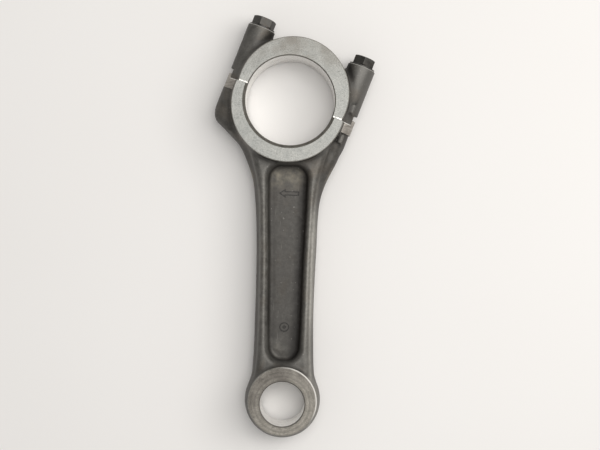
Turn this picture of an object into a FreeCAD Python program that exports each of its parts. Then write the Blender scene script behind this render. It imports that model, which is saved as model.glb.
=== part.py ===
import FreeCAD, Part
import os
import re
import Sketcher

# Forged aluminium connecting rod with a bolted-on cap whose split is inclined to the beam.
# Millimetres.  The crank bore axis is +Z through the origin, at mid width.  The beam runs
# down -Y to the pin bore.  The big end is drawn square in its own frame: local X is across
# the two screws, local Y is along them towards the cap, and every body is then turned by
# the split angle about Z.

SIZES = [
    # bores
    ("crank_bore_radius", 21.0, "radius of the crankpin bore"),
    ("pin_bore_radius", 10.5, "radius of the piston-pin bore"),
    ("centre_distance", 142.5, "crank bore axis to pin bore axis"),
    ("crank_chamfer", 1.4, "chamfer of the crank bore in the rod half"),
    ("small_chamfer", 0.5, "chamfer of the cap half and of the pin bore"),
    # big end
    ("big_end_width", 26.0, "machined width over the big-end faces"),
    ("rod_ring_radius", 26.9, "big-end ring of the rod half, at the face"),
    ("rod_ring_offset", 2.1, "ring centre below the bore axis, rod half"),
    ("cap_ring_radius", 26.3, "big-end ring of the cap, at the face"),
    ("cap_ring_offset", 4.0, "ring centre above the bore axis, cap"),
    ("ring_draft", 3.0, "forging draft of the big-end rings, degrees"),
    ("split_angle", 20.0, "screw direction from the beam direction, degrees"),
    # screw bosses and the joint between rod and cap
    ("screw_spacing", 51.2, "distance between the two screw axes"),
    ("boss_radius", 6.7, "screw bosses, rod and cap"),
    ("seat_height", 28.0, "washer seat above the split"),
    ("ledge_height", 5.2, "foot of the cap boss above the split"),
    ("lip_height", 2.5, "locating lip of the rod above the split"),
    ("lip_thickness", 1.6, "locating lip across the screws"),
    ("lip_clearance", 0.05, "gap between lip and cap tongue"),
    ("left_boss_length", 20.0, "left boss below the split"),
    ("right_boss_length", 16.0, "right boss below the split"),
    ("right_web_length", 29.0, "right shoulder web below the split"),
    ("joint_band", 4.6, "machined band below the split"),
    ("band_step", 0.35, "depth of the machined band"),
    # screws and washers
    ("screw_radius", 3.0, "thread and shank of the cap screws"),
    ("screw_length", 43.0, "below the screw head"),
    ("thread_length", 18.0, "threaded end"),
    ("thread_pitch", 1.0, "thread pitch"),
    ("thread_depth", 0.5, "depth of the thread grooves"),
    ("head_across_flats", 9.8, "hexagon of the screw head"),
    ("head_height", 4.2, "height of the screw head"),
    ("washer_radius", 6.2, "outer radius of the washers"),
    ("washer_thickness", 0.8, "thickness of the washers"),
    ("screw_hole_clearance", 0.2, "radial gap around the shank in cap and washer"),
    ("tapped_clearance", 0.05, "radial gap around the thread in the rod"),
    ("tapped_depth", 19.0, "tapped holes below the split"),
    ("right_head_turn", 0.0, "turn of the right screw head, degrees"),
    ("left_head_turn", 17.0, "turn of the left screw head, degrees"),
    # beam
    ("beam_depth", 18.0, "beam over both flanges, along Z"),
    ("web_thickness", 5.0, "web between the two pockets"),
    ("beam_half_width", 14.4, "half width of the beam below the big end"),
    ("waist_half_width", 13.7, "half width of the beam at its waist"),
    ("beam_top", 55.0, "where the beam becomes parallel, below the crank axis"),
    ("beam_bottom", 20.0, "where the beam meets the small end, above the pin axis"),
    ("neck_drop", 27.0, "where the shoulders meet the beam, below the crank axis"),
    ("neck_half_width", 20.0, "half width of the beam at that height"),
    ("shoulder_depth", 9.0, "webs between the screw bosses and the beam, along Z"),
    ("shoulder_rounding", 5.0, "corner of the left shoulder"),
    ("flange_width", 4.8, "flanges beside the pocket"),
    ("pocket_top", 30.0, "upper end of the pocket, below the crank axis"),
    ("pocket_bottom", 19.0, "lower end of the pocket, above the pin axis"),
    ("pocket_low_half_width", 7.9, "half width of the pocket at its lower end"),
    ("pocket_rounding", 6.0, "pocket corners"),
    ("pocket_draft", 12.0, "draft of the pocket walls, degrees"),
    ("flange_rounding", 2.0, "outer edges of the flanges"),
    # small end
    ("small_end_width", 22.0, "machined width over the small-end faces"),
    ("small_ring_radius", 16.1, "small-end ring at the face"),
    ("small_skirt_radius", 17.9, "small-end ring at mid width"),
    ("small_ring_offset", 1.1, "ring centre above the pin axis, towards the beam"),
    # match marks
    ("mark_height", 7.0, "top of the match pads above mid width"),
    ("mark_inner", 27.4, "inner side of the match pads from the bore axis"),
    ("mark_width", 2.2, "width of the match pads across the screws"),
    ("mark_length", 4.6, "length of the match pads along the screws"),
    ("cap_mark_start", 5.3, "cap pad above the split"),
    ("rod_mark_start", 5.2, "rod pad below the split"),
]

ALIASES = {name for name, value, note in SIZES}
UP = FreeCAD.Vector(0, 0, 1)

doc = FreeCAD.newDocument("connecting_rod")
sheet = doc.addObject("Spreadsheet::Sheet", "sizes")
doc.addObject("App::FeaturePython", "formulas")


def fill_sheet():
    for row, (name, value, note) in enumerate(SIZES, start=1):
        sheet.set(f"A{row}", name)
        sheet.set(f"B{row}", str(value))
        sheet.set(f"C{row}", note)
        sheet.setAlias(f"B{row}", name)
    doc.recompute()


def formula(text):
    """Put the sheet's name before each of its aliases in a formula."""
    return re.sub(r"[a-z_]+", lambda m: f"sizes.{m[0]}" if m[0] in ALIASES else m[0], text)


def number(text):
    """The value of such a formula now."""
    result = doc.getObject("formulas").evalExpression(formula(text))
    return float(getattr(result, "Value", result))


def new_body(label):
    body = doc.addObject("PartDesign::Body", label)
    body.Label = label
    return body


def origin_plane(body, role):
    return next(item for item in body.Origin.OriginFeatures if item.Role == role)


def new_sketch(body, name, role, lift="0", turn="0"):
    """A sketch on an origin plane, lifted along its normal and turned in the plane."""
    sketch = body.newObject("Sketcher::SketchObject", name)
    sketch.AttachmentSupport = (origin_plane(body, role), [""])
    sketch.MapMode = "FlatFace"
    sketch.AttachmentOffset = FreeCAD.Placement(
        FreeCAD.Vector(0, 0, number(lift)), FreeCAD.Rotation(UP, number(turn) or 1e-9))
    sketch.setExpression(".AttachmentOffset.Base.z", formula(lift))
    if turn != "0":
        sketch.setExpression(".AttachmentOffset.Rotation.Angle", formula(turn))
    return sketch


def pin_point(sketch, geometry, point, across, up):
    """Hold one point of a sketch by its two distances from the origin."""
    for kind, text in (("DistanceX", across), ("DistanceY", up)):
        constraint = Sketcher.Constraint(kind, -1, 1, geometry, point, number(text))
        index = sketch.addConstraint(constraint)
        sketch.setExpression(f"Constraints[{index}]", formula(text))


def draw_circle(sketch, across, up, radius):
    centre = FreeCAD.Vector(number(across), number(up), 0)
    circle = sketch.addGeometry(Part.Circle(centre, UP, number(radius)), False)
    pin_point(sketch, circle, 3, across, up)
    index = sketch.addConstraint(Sketcher.Constraint("Radius", circle, number(radius)))
    sketch.setExpression(f"Constraints[{index}]", formula(radius))


def draw_outline(sketch, corners):
    """A closed outline of straight edges through corners given as formulas."""
    points = [FreeCAD.Vector(number(across), number(up), 0) for across, up in corners]
    ends = points[1:] + points[:1]
    lines = [sketch.addGeometry(Part.LineSegment(start, end), False)
             for start, end in zip(points, ends)]
    for line, following in zip(lines, lines[1:] + lines[:1]):
        sketch.addConstraint(Sketcher.Constraint("Coincident", line, 2, following, 1))
    for line, (across, up) in zip(lines, corners):
        pin_point(sketch, line, 1, across, up)


def draw_box(sketch, left, right, low, high):
    draw_outline(sketch, [(left, low), (right, low), (right, high), (left, high)])


def extrude(body, kind, name, sketch, length, both_ways=False, backwards=False, draft=None):
    """A pad or pocket of a sketch, checked for having changed the volume the right way."""
    doc.recompute()
    before = body.Shape.Volume if body.Tip else 0.0
    feature = body.newObject(f"PartDesign::{kind}", name)
    feature.Profile = sketch
    feature.Type = "Length"
    feature.setExpression("Length", formula(length))
    feature.Midplane = both_ways
    feature.Reversed = backwards
    if draft:
        feature.setExpression("TaperAngle", formula(draft))
    body.Tip = feature
    doc.recompute()
    change = body.Shape.Volume - before
    if change * (1 if kind == "Pad" else -1) <= 0:
        raise RuntimeError(f"{name} changes the volume by {change:.3f}")
    return feature


def mirror(body, name, features, role="XY_Plane"):
    """Repeat features on the other side of an origin plane."""
    feature = body.newObject("PartDesign::Mirrored", name)
    feature.Originals = features
    feature.MirrorPlane = (origin_plane(body, role), [""])
    body.Tip = feature
    doc.recompute()
    return feature


def edges_where(body, test):
    shape = body.Tip.Shape
    return [f"Edge{i}" for i, edge in enumerate(shape.Edges, start=1) if test(edge)]


def dress(body, kind, name, test, size):
    """A fillet or chamfer on the edges that pass a test."""
    names = edges_where(body, test)
    if not names:
        raise RuntimeError(f"{name} finds no edge")
    base = body.Tip
    feature = body.newObject(f"PartDesign::{kind}", name)
    feature.Base = (base, names)
    feature.setExpression("Radius" if kind == "Fillet" else "Size", formula(size))
    body.Tip = feature
    doc.recompute()
    return feature


def big_end_point(across, along):
    """A point given across and along the screws, in the frame of the beam."""
    return (f"({across})*cos(split_angle)+({along})*sin(split_angle)",
            f"({along})*cos(split_angle)-({across})*sin(split_angle)")


def drafted_ring(body, name, across, up, radius, skirt_radius, width):
    """A ring blank: narrowest at both faces, widest at mid width where the dies part."""
    cone = body.newObject("PartDesign::AdditiveCone", name)
    cone.AttachmentSupport = (origin_plane(body, "XY_Plane"), [""])
    cone.MapMode = "FlatFace"
    cone.setExpression(".AttachmentOffset.Base.x", formula(across))
    cone.setExpression(".AttachmentOffset.Base.y", formula(up))
    cone.setExpression("Radius1", formula(skirt_radius))
    cone.setExpression("Radius2", formula(radius))
    cone.setExpression("Height", formula(f"{width}/2"))
    body.Tip = cone
    doc.recompute()
    mirror(body, f"{name}_lower", [cone])


def screw_circles(body, name, height, radius):
    """One circle around each screw axis, in the plane at this height above the split."""
    sketch = new_sketch(body, name, "XZ_Plane", lift=f"-({height})")
    draw_circle(sketch, "screw_spacing/2", "0", radius)
    draw_circle(sketch, "-screw_spacing/2", "0", radius)
    return sketch


def match_mark(body, name, low, high):
    """The raised pad on the right boss that shows which way round the cap goes."""
    sketch = new_sketch(body, f"{name}_outline", "XY_Plane")
    draw_box(sketch, "mark_inner", "mark_inner+mark_width", low, high)
    extrude(body, "Pad", name, sketch, "mark_height")


def is_bore_rim(edge, radius, at_z):
    return (edge.Curve.TypeId == "Part::GeomCircle"
            and abs(edge.Curve.Radius - radius) < 0.01
            and abs(abs(edge.CenterOfMass.z) - at_z) < 0.01)


def cut_crank_bore(body, chamfer):
    sketch = new_sketch(body, "crank_bore_circle", "XY_Plane")
    draw_circle(sketch, "0", "0", "crank_bore_radius")
    extrude(body, "Pocket", "crank_bore", sketch, "2*big_end_width", both_ways=True)
    radius = number("crank_bore_radius")
    face = number("big_end_width/2")
    dress(body, "Chamfer", "crank_bore_chamfer",
          lambda edge: is_bore_rim(edge, radius, face), chamfer)


def cut_half_away(body, name, low, high):
    """Remove everything between two heights of the big end."""
    sketch = new_sketch(body, f"{name}_outline", "XY_Plane")
    draw_box(sketch, "-2*screw_spacing", "2*screw_spacing", low, high)
    extrude(body, "Pocket", name, sketch, "4*big_end_width", both_ways=True)


def pad_beam(body):
    """The beam's blank, from inside the big-end ring to the pin axis."""
    sketch = new_sketch(body, "beam_outline", "XY_Plane", turn="split_angle")
    waist = "-(beam_top+centre_distance-beam_bottom)/2"
    left = [
        ("-neck_half_width", "-neck_drop+6"),
        ("-neck_half_width", "-neck_drop"),
        ("-beam_half_width", "-beam_top"),
        ("-waist_half_width", waist),
        ("-beam_half_width", "-centre_distance+beam_bottom"),
        ("-small_ring_radius", "-centre_distance"),
    ]
    right = [(across[1:], up) for across, up in reversed(left)]
    draw_outline(sketch, left + right)
    extrude(body, "Pad", "beam", sketch, "beam_depth", both_ways=True)
    top = number("beam_depth/2")
    dress(body, "Fillet", "flange_edges",
          lambda edge: abs(abs(edge.CenterOfMass.z) - top) < 0.01, "flange_rounding")


def pad_shoulders(body):
    """The webs that carry the screw bosses down into the beam."""
    sketch = new_sketch(body, "shoulder_outline", "XY_Plane", turn="split_angle")
    side = "screw_spacing/2+boss_radius-0.5"
    corners = [
        big_end_point(f"-({side})", "0"),
        big_end_point(f"-({side})", "-left_boss_length-2"),
        ("-neck_half_width", "-neck_drop"),
        ("-beam_half_width", "-beam_top+10"),
        ("beam_half_width", "-beam_top+10"),
        big_end_point(f"{side}-1.2", "-right_web_length"),
        big_end_point(side, "-joint_band"),
        big_end_point(side, "0"),
    ]
    draw_outline(sketch, corners)
    extrude(body, "Pad", "shoulders", sketch, "shoulder_depth", both_ways=True)
    foot = number("-left_boss_length-2")
    dress(body, "Fillet", "shoulder_corner",
          lambda edge: is_left_corner(edge, foot), "shoulder_rounding")


def is_left_corner(edge, foot):
    """The upright edge at the foot of the left boss."""
    upright = abs(edge.Vertexes[0].Z - edge.Vertexes[-1].Z) > 1
    return upright and edge.CenterOfMass.x < 0 and abs(edge.CenterOfMass.y - foot) < 0.1


def pad_bosses(body):
    """Screw bosses, turned down a little beside the split."""
    band = screw_circles(body, "band_circles", "lip_height", "boss_radius")
    extrude(body, "Pad", "joint_bands", band, "lip_height+joint_band")
    for side, sign in (("left", "-"), ("right", "")):
        sketch = new_sketch(body, f"{side}_boss_circle", "XZ_Plane", lift="joint_band")
        draw_circle(sketch, f"{sign}screw_spacing/2", "0", "boss_radius+band_step")
        extrude(body, "Pad", f"{side}_boss", sketch, f"{side}_boss_length-joint_band")


def cut_joint_face(body):
    """The split face, with a locating lip left standing outside each tongue of the cap."""
    cut_half_away(body, "above_lips", "lip_height", "4*crank_bore_radius")
    sketch = new_sketch(body, "split_face_outline", "XY_Plane")
    inner = "screw_spacing/2+boss_radius-lip_thickness"
    draw_box(sketch, f"-({inner})", inner, "0", "2*lip_height")
    extrude(body, "Pocket", "split_face", sketch, "4*big_end_width", both_ways=True)


def cut_beam_pockets(body):
    """The pocket on each side of the web, with drafted walls and round corners."""
    sketch = new_sketch(body, "pocket_outline", "XY_Plane", lift="beam_depth/2",
                        turn="split_angle")
    top = "-pocket_top"
    bottom = "-centre_distance+pocket_bottom"
    wide = "beam_half_width-flange_width"
    draw_outline(sketch, [(f"-({wide})", top), ("-pocket_low_half_width", bottom),
                          ("pocket_low_half_width", bottom), (wide, top)])
    pocket = extrude(body, "Pocket", "pocket", sketch, "(beam_depth-web_thickness)/2",
                     draft="-pocket_draft")
    mirror(body, "pocket_lower", [pocket])
    web = number("web_thickness/2")
    flange = number("beam_depth/2")
    dress(body, "Fillet", "pocket_corners",
          lambda edge: is_pocket_corner(edge, web, flange), "pocket_rounding")


def is_pocket_corner(edge, web, flange):
    """A sloping edge between the web and a flange top."""
    heights = sorted(abs(vertex.Z) for vertex in edge.Vertexes)
    return abs(heights[0] - web) < 0.01 and abs(heights[-1] - flange) < 0.01


def cut_pin_bore(body):
    sketch = new_sketch(body, "pin_bore_circle", "XY_Plane", turn="split_angle")
    draw_circle(sketch, "0", "-centre_distance", "pin_bore_radius")
    extrude(body, "Pocket", "pin_bore", sketch, "2*small_end_width", both_ways=True)
    radius = number("pin_bore_radius")
    face = number("small_end_width/2")
    dress(body, "Chamfer", "pin_bore_chamfer",
          lambda edge: is_bore_rim(edge, radius, face), "small_chamfer")


def make_rod_body():
    body = new_body("rod_body")
    pad_shoulders(body)
    pad_beam(body)
    pad_bosses(body)
    drafted_ring(body, "big_end_ring", "0", "-rod_ring_offset", "rod_ring_radius",
                 "rod_ring_radius+big_end_width/2*tan(ring_draft)", "big_end_width")
    below = "(centre_distance-small_ring_offset)"
    drafted_ring(body, "small_end_ring", f"{below}*sin(split_angle)",
                 f"-{below}*cos(split_angle)", "small_ring_radius",
                 "small_skirt_radius", "small_end_width")
    match_mark(body, "rod_mark", "-rod_mark_start-mark_length", "-rod_mark_start")
    cut_joint_face(body)
    cut_crank_bore(body, "crank_chamfer")
    cut_pin_bore(body)
    cut_beam_pockets(body)
    holes = screw_circles(body, "tapped_circles", "0", "screw_radius+tapped_clearance")
    extrude(body, "Pocket", "tapped_holes", holes, "tapped_depth", backwards=True)
    return body


def make_rod_cap():
    body = new_body("rod_cap")
    drafted_ring(body, "cap_ring", "0", "cap_ring_offset", "cap_ring_radius",
                 "cap_ring_radius+big_end_width/2*tan(ring_draft)", "big_end_width")
    bosses = screw_circles(body, "boss_circles", "seat_height", "boss_radius")
    extrude(body, "Pad", "cap_bosses", bosses, "seat_height")
    match_mark(body, "cap_mark", "cap_mark_start", "cap_mark_start+mark_length")
    cut_half_away(body, "below_split", "-4*crank_bore_radius", "0")
    inner = "screw_spacing/2+boss_radius-lip_thickness-lip_clearance"
    for side, sign in (("left", "-"), ("right", "")):
        sketch = new_sketch(body, f"{side}_tongue_outline", "XY_Plane")
        draw_box(sketch, f"{sign}({inner})", f"{sign}2*screw_spacing",
                 "-ledge_height", "ledge_height")
        extrude(body, "Pocket", f"{side}_tongue", sketch, "4*big_end_width", both_ways=True)
    cut_crank_bore(body, "small_chamfer")
    holes = screw_circles(body, "hole_circles", "-1", "screw_radius+screw_hole_clearance")
    extrude(body, "Pocket", "screw_holes", holes, "seat_height+2")
    return body


def make_washer(side, sign):
    body = new_body(f"washer_{side}")
    sketch = new_sketch(body, "washer_circles", "XZ_Plane", lift="-seat_height")
    centre = f"{sign}screw_spacing/2"
    draw_circle(sketch, centre, "0", "washer_radius")
    draw_circle(sketch, centre, "0", "screw_radius+screw_hole_clearance")
    extrude(body, "Pad", "washer", sketch, "washer_thickness", backwards=True)
    return body


def revolve_cut(body, name, sign, corners):
    """A groove around one screw axis, through corners given as radius and height."""
    sketch = new_sketch(body, f"{name}_profile", "XY_Plane")
    centre = f"{sign}screw_spacing/2"
    axis = Part.LineSegment(FreeCAD.Vector(number(centre), 0, 0),
                            FreeCAD.Vector(number(centre), 10, 0))
    line = sketch.addGeometry(axis, True)
    pin_point(sketch, line, 1, centre, "0")
    pin_point(sketch, line, 2, centre, "10")
    draw_outline(sketch, [(f"{centre}+{radius}", height) for radius, height in corners])
    doc.recompute()
    before = body.Shape.Volume
    feature = body.newObject("PartDesign::Groove", name)
    feature.Profile = sketch
    feature.ReferenceAxis = (sketch, ["Axis0"])
    feature.Angle = 360
    body.Tip = feature
    doc.recompute()
    if body.Shape.Volume >= before:
        raise RuntimeError(f"{name} cuts nothing")
    return feature


def hexagon_corners(sign, turn):
    """Corners of a hexagon around a screw axis, the first turned from across."""
    reach = "head_across_flats/2/cos(30)"
    return [(f"{sign}screw_spacing/2+{reach}*cos({angle}+{turn})",
             f"{reach}*sin({angle}+{turn})") for angle in range(30, 390, 60)]


def make_screw(side, sign):
    """A hexagon-head cap screw with a rolled thread, cut here as rings one pitch apart."""
    body = new_body(f"cap_screw_{side}")
    under = "seat_height+washer_thickness"
    shank = new_sketch(body, "shank_circle", "XZ_Plane", lift=f"-({under})")
    draw_circle(shank, f"{sign}screw_spacing/2", "0", "screw_radius")
    extrude(body, "Pad", "shank", shank, "screw_length")
    head = new_sketch(body, "head_outline", "XZ_Plane", lift=f"-({under})")
    draw_outline(head, hexagon_corners(sign, f"{side}_head_turn"))
    extrude(body, "Pad", "head", head, "head_height", backwards=True)
    top = f"{under}+head_height"
    flat = "head_across_flats/2"
    revolve_cut(body, "head_chamfer", sign,
                [(f"{flat}-0.2", top), (f"{flat}+2", f"{top}-1.2"), (f"{flat}+2", top)])
    tip = f"{under}-screw_length"
    revolve_cut(body, "tip_chamfer", sign,
                [("screw_radius-0.7", tip), ("screw_radius+0.1", tip),
                 ("screw_radius+0.1", f"{tip}+0.8")])
    groove = revolve_cut(body, "thread_groove", sign,
                         [("screw_radius+0.1", f"{tip}+1.2"),
                          ("screw_radius+0.1", f"{tip}+1.2+0.9*thread_pitch"),
                          ("screw_radius-thread_depth", f"{tip}+1.2+0.45*thread_pitch")])
    thread = body.newObject("PartDesign::LinearPattern", "thread")
    thread.Originals = [groove]
    thread.Direction = (origin_plane(body, "XZ_Plane"), [""])
    thread.Reversed = True
    thread.setExpression("Length", formula("thread_length-thread_pitch"))
    thread.setExpression("Occurrences", formula("thread_length/thread_pitch"))
    body.Tip = thread
    doc.recompute()
    return body


def turn_to_split(body):
    body.Placement = FreeCAD.Placement(FreeCAD.Vector(), FreeCAD.Rotation(UP, -20))
    body.setExpression(".Placement.Rotation.Angle", "-sizes.split_angle")


def check_and_export(bodies):
    doc.recompute()
    for item in doc.Objects:
        if "Invalid" in item.State or "Error" in item.State:
            raise RuntimeError(f"{item.Name} did not compute: {item.State}")
    os.makedirs("parts", exist_ok=True)
    for body in bodies:
        shape = body.Shape
        if shape.isNull() or not shape.isValid() or len(shape.Solids) != 1:
            raise RuntimeError(f"{body.Label} is not one valid solid")
        shape.exportStep(f"parts/{body.Label}.step")
        print(f"{body.Label}: {shape.Volume:.1f} mm3")


fill_sheet()
pieces = [make_rod_body(), make_rod_cap()]
for name, direction in (("left", "-"), ("right", "")):
    pieces.append(make_washer(name, direction))
    pieces.append(make_screw(name, direction))
for piece in pieces:
    turn_to_split(piece)
check_and_export(pieces)
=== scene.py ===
import bmesh
import bpy
import math
import numpy as np
from contextlib import contextmanager
from mathutils import Matrix, Vector


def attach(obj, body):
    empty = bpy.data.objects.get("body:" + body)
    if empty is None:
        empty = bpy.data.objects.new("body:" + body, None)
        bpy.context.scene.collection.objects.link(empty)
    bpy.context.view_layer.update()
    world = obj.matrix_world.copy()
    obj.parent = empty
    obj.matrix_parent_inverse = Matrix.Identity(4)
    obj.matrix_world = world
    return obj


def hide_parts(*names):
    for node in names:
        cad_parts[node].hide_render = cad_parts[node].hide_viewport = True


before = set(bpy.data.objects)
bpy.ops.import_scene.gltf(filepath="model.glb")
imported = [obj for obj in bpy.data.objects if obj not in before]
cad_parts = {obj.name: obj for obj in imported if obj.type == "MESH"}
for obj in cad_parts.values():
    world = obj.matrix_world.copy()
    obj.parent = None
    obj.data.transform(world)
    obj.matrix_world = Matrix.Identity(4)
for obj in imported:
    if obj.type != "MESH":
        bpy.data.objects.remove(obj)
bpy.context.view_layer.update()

# ------------------------------------------------ sizes, millimetres
# The machined sizes are the CAD's.  The crank bore axis is Z through the origin.  The big end
# has its own frame: s is across the screws and t along them, towards the cap.

MM = 0.001
SPLIT_ANGLE = math.radians(20.0)
CRANK_RADIUS = 21.0
PIN_RADIUS = 10.5
CENTRE_DISTANCE = 142.5
BIG_HALF_WIDTH = 13.0
SMALL_HALF_WIDTH = 11.0
CRANK_CHAMFER = 1.4
CAP_CHAMFER = 0.5
PIN_CHAMFER = 0.5

ROD_RING_RADIUS = 26.9
ROD_RING_OFFSET = -2.1
CAP_RING_RADIUS = 26.3
CAP_RING_OFFSET = 4.0
RING_SWELL = 0.68
SMALL_RING_RADIUS = 16.1
SMALL_RING_Y = -141.4
SMALL_SKIRT = 1.8
RIM_CHAMFER = 0.35
SEAT_CHAMFER = 0.3
CHAMFER_REACH = 1.2

SCREW_S = 25.6
BOSS_RADIUS = 6.7
SEAT_HEIGHT = 28.0
SEAT_INNER = 17.0
LEDGE_HEIGHT = 5.2
LIP_HEIGHT = 2.5
LIP_INNER = 30.7
LIP_CLEARANCE = 0.05
JOINT_BAND = 4.6
BAND_STEP = 0.35
TAPPED_RADIUS = 3.05
TAPPED_DEPTH = 19.0
TAPPED_EDGE = 0.6
DRILL_POINT = 1.5
HOLE_RADIUS = 3.2

SCREW_RADIUS = 3.0
SCREW_LENGTH = 43.0
THREAD_LENGTH = 18.0
THREAD_PITCH = 1.0
THREAD_DEPTH = 0.5
HEAD_FLAT = 4.9
HEAD_HEIGHT = 4.2
WASHER_RADIUS = 6.2
WASHER_THICKNESS = 0.8

FLANGE_TOP = 9.0
WEB_TOP = 2.5
SHOULDER_TOP = 5.2
POCKET_TOP = -29.0
POCKET_BOTTOM = -123.8
SMALL_END_TOP = -121.0
MATCH_MARK = (28.5, 7.5, 4.0)
MATCH_MARK_HALF = (1.15, 2.3, 3.0)

DRAFT = 0.16        # slope of the forged sides
STOCK = 1.0         # metal left on the forging for the machining to take off
GRID = 0.45         # cell of the distance fields
WELD = 0.006        # points closer than this are joined after the cuts
SLIVER = 0.003
WIDE = 45.0         # clear of the big end all round
CLEAR = 20.0        # clear of the rod above and below
BOSS_CLEAR = 9.0    # clear of the bosses above and below


# ------------------------------------------------ distance fields

def smooth_max(a, b, blend):
    """The larger of two distances, with the crease between them rounded."""
    share = np.clip(0.5 + 0.5 * (a - b) / blend, 0.0, 1.0)
    return b + (a - b) * share + blend * share * (1.0 - share)


def smooth_min(a, b, blend):
    return -smooth_max(-a, -b, blend)


def through(stations, at):
    """A smooth curve through a few (place, value) stations, read at many places."""
    place, value = np.array(sorted(stations)).T
    slope = np.gradient(value, place)
    at = np.clip(at, place[0], place[-1])
    i = np.clip(np.searchsorted(place, at) - 1, 0, len(place) - 2)
    span = place[i + 1] - place[i]
    u = (at - place[i]) / span
    return ((2 * u**3 - 3 * u**2 + 1) * value[i] + (u**3 - 2 * u**2 + u) * span * slope[i]
            + (3 * u**2 - 2 * u**3) * value[i + 1] + (u**3 - u**2) * span * slope[i + 1])


def big_end_frame(x, y):
    """Distances s across and t along the screws."""
    cos, sin = math.cos(SPLIT_ANGLE), math.sin(SPLIT_ANGLE)
    return x * cos - y * sin, x * sin + y * cos


def post(s, t, z, centre_s, low, high, radius, blend):
    """A round post along the screws, with softened ends."""
    side = np.hypot(s - centre_s, z) - radius
    ends = np.maximum(low - t, t - high)
    return smooth_max(side, ends, blend)


def rounded_block(a, b, c, centre, half, blend):
    """A block with softened edges."""
    sides = smooth_max(abs(a - centre[0]) - half[0], abs(b - centre[1]) - half[1], blend)
    return smooth_max(sides, abs(c - centre[2]) - half[2], blend)


def rod_silhouette(x, y):
    """Distance to the outline of the rod at its parting plane, below the big end."""
    left = [(-14, 29.0), (-20.4, 23.6), (-25.4, 21.2), (-31, 18.9), (-37, 16.8), (-45, 15.6),
            (-56, 14.6), (-82, 13.9), (-105, 14.0), (-122, 14.3), (-131, 14.8), (-142.5, 17.0)]
    right = [(-12, 28.8), (-15, 27.5), (-19, 26.2), (-22, 25.2), (-28.6, 22.6), (-34.4, 19.7),
             (-40.2, 17.2), (-46, 15.5), (-55.6, 14.4), (-69, 14.2), (-82, 13.7), (-99, 13.3),
             (-116, 13.8), (-128, 14.3), (-142.5, 16.4)]
    side = np.where(x < 0, -x - through(left, y), x - through(right, y))
    return np.maximum(side, np.maximum(y + 14.0, -CENTRE_DISTANCE - y))


def flange_side(x, y):
    """Distance to the outer edge of the flanges, near their tops."""
    half = [(-20, 19.6), (-28, 16.8), (-36, 14.6), (-46, 13.1), (-60, 12.4), (-95, 11.9),
            (-122, 12.3), (-142.5, 14.3)]
    return np.maximum(abs(x) - through(half, y), np.maximum(y + 20.0, -CENTRE_DISTANCE - y))


def pocket(x, y, z):
    """The hollow beside the web: drafted walls, round ends, a soft corner at the floor."""
    half = through([(-30, 10.3), (-48, 10.1), (-76, 9.2), (-112, 8.5), (-124, 7.9)], y)
    corner = np.where(y > -78, 7.5, 7.3)
    side = abs(x) - half + corner
    end = np.maximum(y - POCKET_TOP, POCKET_BOTTOM - y) + corner
    outline = np.hypot(np.maximum(side, 0), np.maximum(end, 0)) - corner
    outline = outline + np.minimum(np.maximum(side, end), 0)
    wall = outline + 0.22 * (FLANGE_TOP - abs(z))
    return smooth_max(wall, WEB_TOP - abs(z), 2.0)


def rod_forging(x, y, z):
    """Distance to the rod as it leaves the dies, before machining."""
    s, t = big_end_frame(x, y)
    depth = abs(z)
    low = smooth_max(rod_silhouette(x, y) + DRAFT * depth, depth - SHOULDER_TOP, 4.5)
    above = depth - FLANGE_TOP
    beam = smooth_max(flange_side(x, y) + DRAFT * above, above, 3.2)
    shape = smooth_min(low, beam, 1.6)
    shape = smooth_max(shape, -pocket(x, y, z), 2.0)
    diagonal = -0.684 * x - 0.730 * y - 31.0
    shoulder = smooth_max(-s - SCREW_S - BOSS_RADIUS + 0.9, diagonal, 3.2)
    shoulder = smooth_max(shoulder, np.maximum(x + 13.0, t - 4.0), 1.0)
    shoulder = smooth_max(shoulder + DRAFT * depth, depth - 5.6, 4.5)
    shape = smooth_min(shape, shoulder, 2.0)
    radius = BOSS_RADIUS + BAND_STEP
    shape = smooth_min(shape, post(s, t, z, -SCREW_S, -18.5, 4.0, radius - 0.4, 5.0), 2.0)
    shape = smooth_min(shape, post(s, t, z, SCREW_S, -15.0, 4.0, radius - 1.2, 5.0), 2.0)
    band = post(abs(s), t, z, SCREW_S, -JOINT_BAND, 4.0, BOSS_RADIUS + 0.3, 0.3)
    shape = np.minimum(shape, band)
    ring = np.hypot(s, t - ROD_RING_OFFSET) - ROD_RING_RADIUS
    ring = ring - RING_SWELL * (1 - depth / BIG_HALF_WIDTH)
    shape = smooth_min(shape, np.maximum(ring, depth - BIG_HALF_WIDTH - STOCK), 1.8)
    small = np.hypot(x, y - SMALL_RING_Y) - SMALL_RING_RADIUS
    small = small - SMALL_SKIRT * (1 - (depth / SMALL_HALF_WIDTH) ** 2.2)
    shape = smooth_min(shape, np.maximum(0.8 * small, depth - SMALL_HALF_WIDTH - STOCK), 1.5)
    mark = rounded_block(s, -t, z, MATCH_MARK, MATCH_MARK_HALF, 0.6)
    return np.maximum(smooth_min(shape, mark, 0.5), t - LIP_HEIGHT - STOCK)


def cap_forging(x, y, z):
    """Distance to the cap as it leaves the dies; x is across and y along the screws."""
    depth = abs(z)
    ring = np.hypot(x, y - CAP_RING_OFFSET) - CAP_RING_RADIUS
    ring = ring - RING_SWELL * (1 - depth / BIG_HALF_WIDTH)
    shape = np.maximum(ring, depth - BIG_HALF_WIDTH - STOCK)
    boss = post(abs(x), y, z, SCREW_S, -3.0, SEAT_HEIGHT + STOCK, BOSS_RADIUS, 0.5)
    shape = smooth_min(shape, boss, 2.6)
    mark = rounded_block(x, y, z, MATCH_MARK, MATCH_MARK_HALF, 0.6)
    return np.maximum(smooth_min(shape, mark, 0.5), -STOCK - y)


# ------------------------------------------------ field to mesh

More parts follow.
